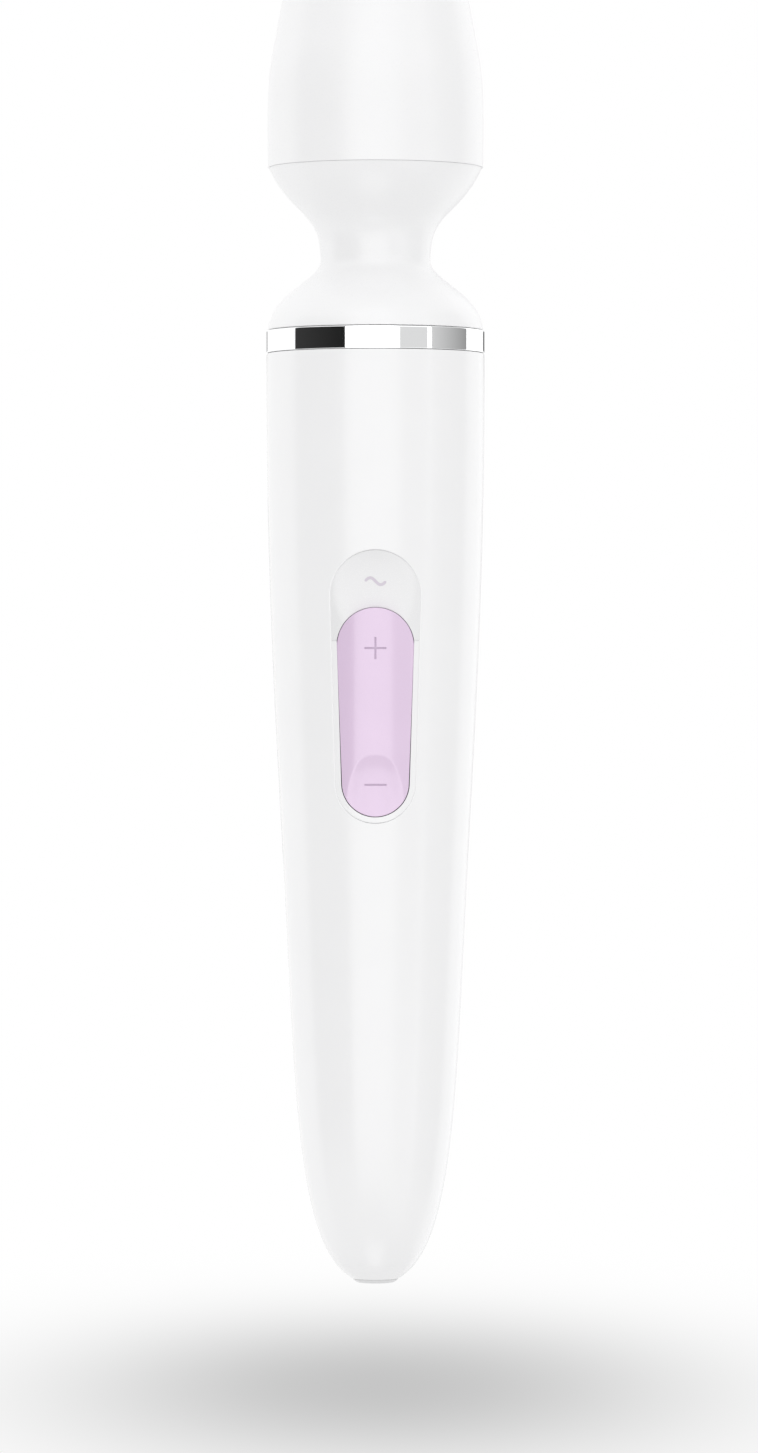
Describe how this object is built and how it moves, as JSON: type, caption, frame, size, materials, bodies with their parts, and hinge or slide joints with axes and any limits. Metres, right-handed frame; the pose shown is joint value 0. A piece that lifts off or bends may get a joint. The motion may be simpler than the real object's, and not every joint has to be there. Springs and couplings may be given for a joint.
{
  "type": "wand massager",
  "caption": "Cordless handheld wand massager: round vibrating head on a flexible silicone neck, chrome ring, long tapering handle with a thumb rocker and a pattern button.",
  "frame": {"origin": "on the wand's axis in the middle of the hand grip, 90 mm above the tip of the handle", "axes": "+Z along the wand from the handle's tip to the head, -Y out of the control panel, +X to the right of someone facing the panel"},
  "size_m": [0.0546, 0.0546, 0.342],
  "materials": {
    "shell_white": "smooth moulded ABS, satin gloss",
    "silicone_white": "soft-touch liquid silicone, satin",
    "ring_chrome": "mirror chrome plating on ABS",
    "panel_grey": "soft-touch coated ABS, pale grey",
    "rocker_lilac": "soft-touch coated ABS, lilac",
    "plug_grey": "smooth grey plastic",
    "contact_gold": "gold-plated contact",
    "nickel": "nickel plate",
    "seal_black": "nitrile rubber",
    "core_rubber": "firm natural rubber",
    "board_green": "solder-masked glass-epoxy board",
    "cell_wrap": "heat-shrink wrap",
    "chassis_black": "moulded ABS, fine spark texture",
    "housing_grey": "moulded nylon",
    "switch_black": "moulded switch case",
    "connector_ivory": "moulded nylon connector",
    "chip_black": "epoxy package",
    "screw_steel": "zinc-plated steel",
    "spring_steel": "drawn spring wire",
    "motor_steel": "zinc-plated deep-drawn can",
    "rotor_steel": "stacked electrical steel",
    "magnet_ferrite": "sintered ferrite",
    "bush_bronze": "sintered bronze",
    "copper": "enamelled copper",
    "weight_steel": "sintered steel weight",
    "lead_red": "silicone-insulated wire"
  },
  "bodies": {
    "handle": {"handle_front_shell": "shell_white", "handle_rear_shell": "shell_white", "chrome_ring": "ring_chrome", "neck_base": "chassis_black", "neck_base_screws": "screw_steel", "spring_seat": "chassis_black", "end_plug": "plug_grey", "charge_contacts": "contact_gold", "charge_magnets": "nickel", "plug_seal": "seal_black", "charge_board": "board_green", "battery_cell": "cell_wrap", "battery_tabs": "nickel", "chassis": "chassis_black", "chassis_screws": "screw_steel", "main_board": "board_green", "board_screws": "screw_steel", "tact_switches": "switch_black", "board_connectors": "connector_ivory", "board_chips": "chip_black", "keypad_membrane": "core_rubber", "control_bezel": "panel_grey", "rocker_pin": "screw_steel", "motor_leads": "lead_red", "battery_leads": "lead_red", "charge_leads": "lead_red"},
    "neck": {"neck_core": "core_rubber", "neck_spring": "spring_steel", "neck_sleeve": "silicone_white"},
    "head": {"head_cap": "silicone_white", "head_housing_upper": "housing_grey", "head_housing_lower": "housing_grey", "motor_can": "motor_steel", "motor_end_bell": "chassis_black", "motor_bush_upper": "bush_bronze", "motor_bush_lower": "bush_bronze", "motor_magnets": "magnet_ferrite", "motor_brushes": "copper", "motor_sleeve": "core_rubber", "motor_clamp": "chassis_black", "motor_clamp_screws": "screw_steel"},
    "rotor": {"motor_shaft": "nickel", "armature_core": "rotor_steel", "armature_windings": "copper", "commutator": "copper", "eccentric_weight": "weight_steel"},
    "mode_key": {"mode_button": "panel_grey"},
    "rocker_key": {"intensity_rocker": "rocker_lilac"}
  },
  "joints": [
    {"name": "neck_tilt_side", "type": "hinge", "parent": "handle", "child": "neck", "pos_m": [0, 0, 0.166], "axis": [0, 1, 0], "range_deg": [-20, 20], "stiffness_Nm_per_rad": 4, "deforming": ["neck_sleeve", "neck_core", "neck_spring", "motor_leads"]},
    {"name": "neck_tilt_front", "type": "hinge", "parent": "neck", "child": "head", "pos_m": [0, 0, 0.166], "axis": [1, 0, 0], "range_deg": [-20, 20], "stiffness_Nm_per_rad": 4, "deforming": ["neck_sleeve", "neck_core", "neck_spring", "motor_leads"]},
    {"name": "rotor_spin", "type": "hinge", "parent": "head", "child": "rotor", "pos_m": [0, 0, 0.2], "axis": [0, 0, 1], "continuous": true},
    {"name": "mode_press", "type": "slide", "parent": "handle", "child": "mode_key", "axis": [0, 1, 0], "range_m": [0, 0.0006], "stiffness_N_per_m": 1500},
    {"name": "rocker_tilt", "type": "hinge", "parent": "handle", "child": "rocker_key", "pos_m": [0, -0.019, 0.0525], "axis": [1, 0, 0], "range_deg": [-1.8, 1.8], "stiffness_Nm_per_rad": 1.3}
  ]
}
